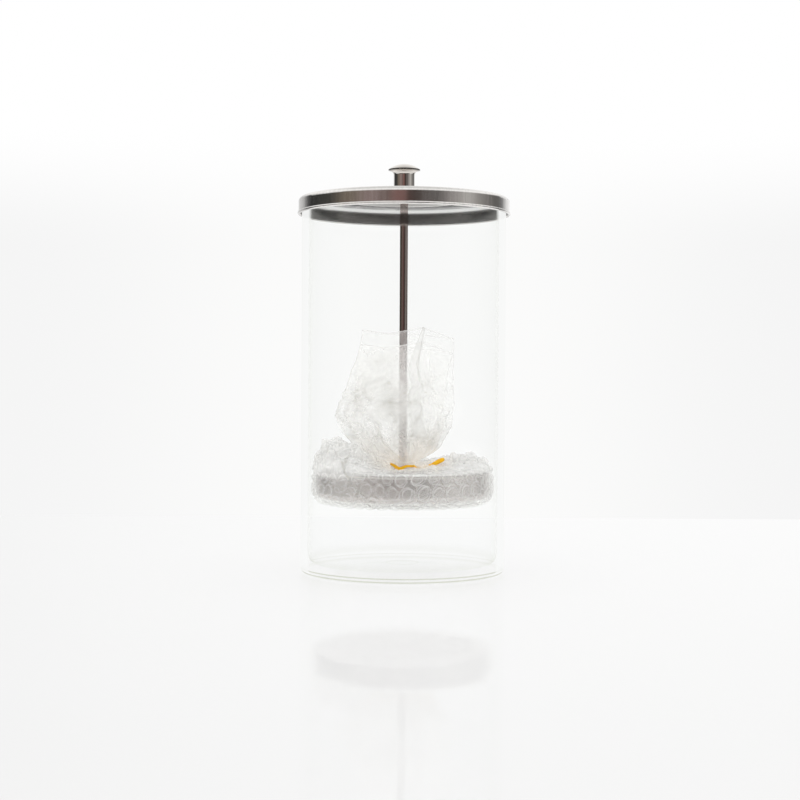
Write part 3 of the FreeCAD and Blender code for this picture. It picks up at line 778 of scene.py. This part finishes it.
# The walls that metal mirrors, from behind the jar round by its left, front and right, as (turn, colour).
ROOM = (
    (0.0, (1.0, 1.0, 1.0)), (0.083, (0.62, 0.62, 0.62)), (0.113, (0.5, 0.5, 0.5)),
    (0.13, (0.24, 0.24, 0.24)), (0.15, (0.08, 0.08, 0.08)), (0.165, (0.035, 0.035, 0.035)),
    (0.25, (0.05, 0.05, 0.045)), (0.33, (0.18, 0.15, 0.12)), (0.4, (0.26, 0.2, 0.19)),
    (0.45, (0.16, 0.12, 0.11)), (0.475, (0.2, 0.11, 0.1)), (0.5, (0.2, 0.11, 0.1)),
    (0.515, (0.06, 0.04, 0.035)), (0.535, (0.05, 0.035, 0.03)), (0.56, (0.12, 0.105, 0.1)),
    (0.6, (0.13, 0.12, 0.115)), (0.65, (0.32, 0.3, 0.29)), (0.7, (0.46, 0.45, 0.43)),
    (0.76, (0.24, 0.23, 0.22)), (0.83, (0.13, 0.125, 0.12)), (0.868, (0.2, 0.2, 0.2)),
    (0.885, (0.55, 0.55, 0.55)), (0.915, (0.85, 0.85, 0.85)), (0.96, (1.0, 1.0, 1.0)),
)
TABLE_HALF_WIDTH, TABLE_FRONT, TABLE_BACK, TABLE_HEIGHT = 1.3, -1.4, 0.28, -0.2 * MM
CAMERA_DISTANCE, CAMERA_HEIGHT = 0.7394, 0.0982
CAMERA_PITCH, CAMERA_ROLL = 1.01, 0.32
BOUNCES = {"transparent_max_bounces": 48, "max_bounces": 24, "diffuse_bounces": 12,
           "glossy_bounces": 8, "transmission_bounces": 16}


def build_world():
    """A photographer's room: white behind and above, with dim walls at the front for metal to mirror."""
    world = bpy.data.worlds.new("studio")
    bpy.context.scene.world = world
    world.cycles.sampling_method = "NONE"
    t = Tree(world)
    x, y, z = t.split(t.add("ShaderNodeTexCoord").outputs["Generated"])
    path = t.add("ShaderNodeLightPath").outputs
    was_diffuse = t.math("GREATER_THAN", path["Diffuse Depth"], 0.5)
    scattered = t.math("MAXIMUM", was_diffuse, path["Is Diffuse Ray"])

    turn = t.math("ARCTAN2", x, t.product(y, -1.0))
    walls = t.ramp(t.math("ADD", t.math("DIVIDE", turn, 2 * math.pi), 0.5), ROOM)
    ceiling = t.blend(t.remap(z, 0.6, 0.95), (1.05, 1.05, 1.04), (0.75, 0.75, 0.74))
    room = t.blend(t.remap(z, 0.22, 0.5), walls, ceiling)
    mirrored = t.product(t.math("GREATER_THAN", path["Glossy Depth"], 0.5), t.one_less(scattered))

    later = t.remap(path["Ray Depth"], 0.9, 3.1, smooth=False)
    soft_light = t.blend(later, (0.86, 0.86, 0.855), (1.5, 1.5, 1.49))
    through = t.blend(scattered, (0.985, 0.985, 0.98), soft_light)

    sides = t.remap(t.math("ABSOLUTE", x), 0.06, 0.26)
    backdrop = t.blend(sides, (0.965, 0.965, 0.96), (0.915, 0.915, 0.915))
    backdrop = t.blend(t.remap(z, 0.08, 0.16), backdrop, WHITE)
    direct = t.product(path["Is Camera Ray"], t.math("LESS_THAN", path["Transparent Depth"], 0.5))
    seen = t.blend(mirrored, t.blend(direct, through, backdrop), room)
    t.add("ShaderNodeOutputWorld", Surface=t.shader("Background", Color=seen, Strength=1.0))


def build_table():
    """A white table top whose back edge is the photograph's horizon."""
    left, right = -TABLE_HALF_WIDTH, TABLE_HALF_WIDTH
    corners = [(left, TABLE_FRONT), (right, TABLE_FRONT), (right, TABLE_BACK), (left, TABLE_BACK)]
    mesh = bpy.data.meshes.new("table")
    mesh.from_pydata([(x, y, TABLE_HEIGHT) for x, y in corners], [], [(0, 1, 2, 3)])
    table = bpy.data.objects.new("table", mesh)
    bpy.context.collection.objects.link(table)
    mesh.materials.append(floor_material())


def build_camera():
    """A short telephoto level with the middle of the jar, looking a degree down and rolled a little."""
    data = bpy.data.cameras.new("camera")
    data.lens = 67.0
    data.sensor_width = 36.0
    data.shift_x = -0.004
    camera = bpy.data.objects.new("camera", data)
    camera.location = (0.0, -CAMERA_DISTANCE, CAMERA_HEIGHT)
    camera.rotation_euler = (math.radians(90 - CAMERA_PITCH), math.radians(-CAMERA_ROLL), 0.0)
    bpy.context.collection.objects.link(camera)
    bpy.context.scene.camera = camera


def finish_metal():
    """Steel for the lid, the knob, the rod, the basket and the hidden hardware."""
    # Painted shade on the lid: its inner skirt is dimmed, and its flat underside is darkened in patches.
    give("lid_cover", steel("lid_steel", (0.9, 0.88, 0.86), 0.15, (900.0, 900.0, 50.0), 0.22,
                            bump=0.03, inside=0.12, dull=0.5))
    polished = (300.0, 300.0, 300.0)
    # cap_edge is the height of a painted dark line of shade just above the cap's foot.
    cap_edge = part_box("knob_cap")[0].z + EDGE_LINE_WIDTH
    # The cap and the sleeve are one steel: the cap's darker colour is painted shade and the sleeve's
    # lighter colour is painted light.
    give("knob_cap", steel("knob_cap_steel_painted_shade", (0.74, 0.7, 0.66), 0.04, polished, 0.05, edge=cap_edge))
    give("knob_sleeve", steel("knob_sleeve_steel_painted_light", (0.93, 0.9, 0.87), 0.04, polished, 0.05))
    # The rod's colour is steel with a reddish-brown tint that is a painted reflection.
    give("rod", steel("rod_steel", (0.5, 0.44, 0.42), 0.06, (300.0, 300.0, 30.0), 0.1))
    hardware = steel("hardware_steel", (0.7, 0.7, 0.7), 0.25, (400.0, 400.0, 400.0), 0.15)
    for node in ("lid_washer", "lid_nut", "basket_upper_washer", "basket_upper_nut",
                 "basket_lower_washer", "basket_lower_nut"):
        give(node, hardware)
    give("basket_pan", steel("basket_steel", (0.7, 0.665, 0.645), 0.22, (500.0, 500.0, 60.0), 0.15))


def main():
    """Sets up the studio, then dresses every piece."""
    scene = bpy.context.scene
    scene.view_settings.view_transform = "Standard"
    for setting, count in BOUNCES.items():
        setattr(scene.cycles, setting, count)
    build_world()
    build_table()
    build_camera()
    give("glass_jar", clear_glass())
    finish_metal()
    film = bubble_film()
    build_wrap(film)
    build_tail(film)
    build_band()


main()
